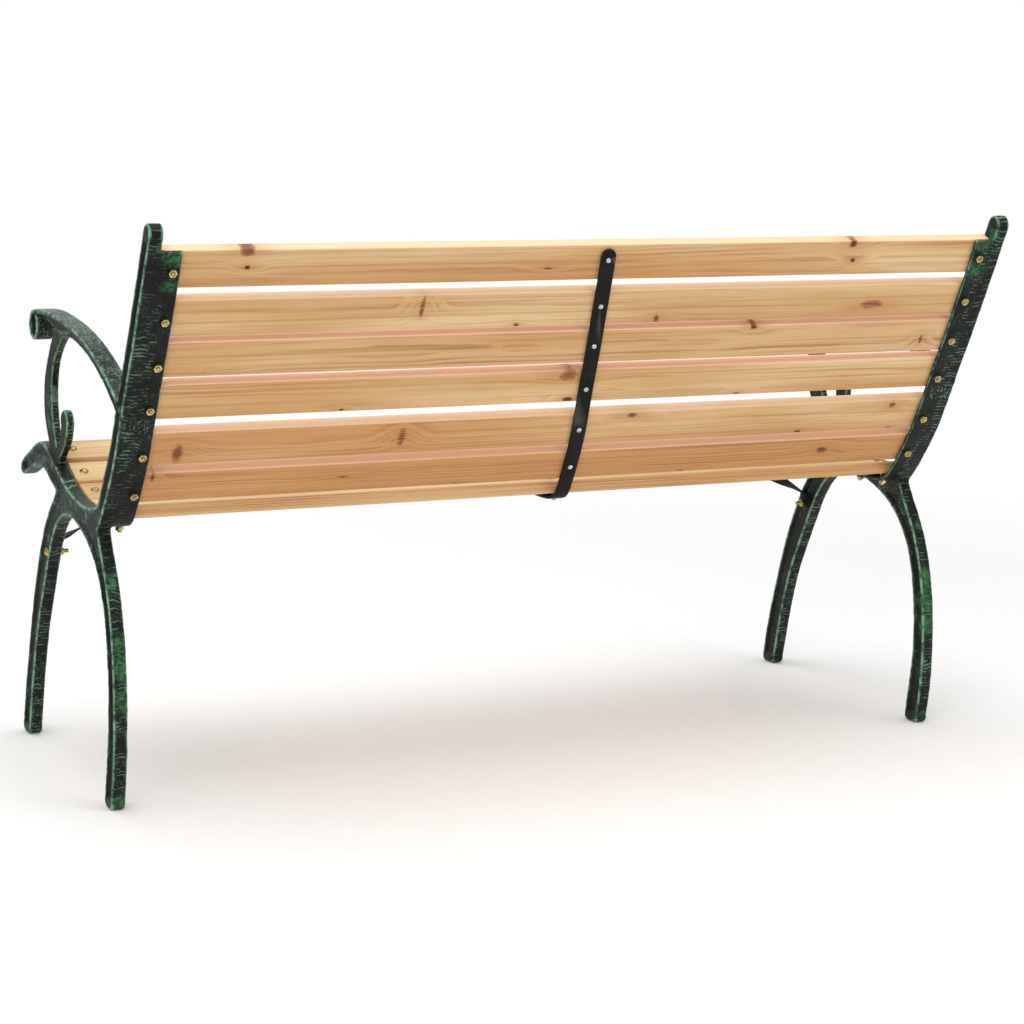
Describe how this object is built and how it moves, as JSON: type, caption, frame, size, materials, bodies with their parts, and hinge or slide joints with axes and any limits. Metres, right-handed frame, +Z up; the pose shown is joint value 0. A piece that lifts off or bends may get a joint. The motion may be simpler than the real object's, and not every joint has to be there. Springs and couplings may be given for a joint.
{
  "type": "garden bench",
  "caption": "Garden bench with scrolled cast end frames, a slatted wooden seat and reclined back, a flat centre strap and knee braces.",
  "frame": {"origin": "on the ground, below the middle of the bench's bounding box", "axes": "+X along the bench towards the sitter's left, -Y the way the sitter faces, +Z up"},
  "size_m": [1.28, 0.619, 0.7795],
  "materials": {
    "green_cast_iron": "black casting with a brushed verdigris green patina",
    "fir_wood": "planed fir with a thin clear stain",
    "black_steel": "satin black powder coat",
    "brass": "yellow passivated",
    "zinc_steel": "bright zinc"
  },
  "bodies": {
    "root": {"back_bolts_left": "brass", "back_bolts_right": "brass", "back_nuts_left": "brass", "back_nuts_right": "brass", "back_slat_1": "fir_wood", "back_slat_2": "fir_wood", "back_slat_3": "fir_wood", "back_slat_4": "fir_wood", "back_slat_5": "fir_wood", "back_slat_6": "fir_wood", "brace_bolts": "brass", "brace_left": "black_steel", "brace_nuts": "brass", "brace_right": "black_steel", "brace_screws": "zinc_steel", "centre_strap": "black_steel", "end_frame_left": "green_cast_iron", "end_frame_right": "green_cast_iron", "seat_bolts_left": "brass", "seat_bolts_right": "brass", "seat_nuts_left": "brass", "seat_nuts_right": "brass", "seat_slat_1": "fir_wood", "seat_slat_2": "fir_wood", "seat_slat_3": "fir_wood", "seat_slat_4": "fir_wood", "seat_slat_5": "fir_wood", "strap_back_screws": "zinc_steel", "strap_seat_screws": "zinc_steel"}
  },
  "joints": []
}
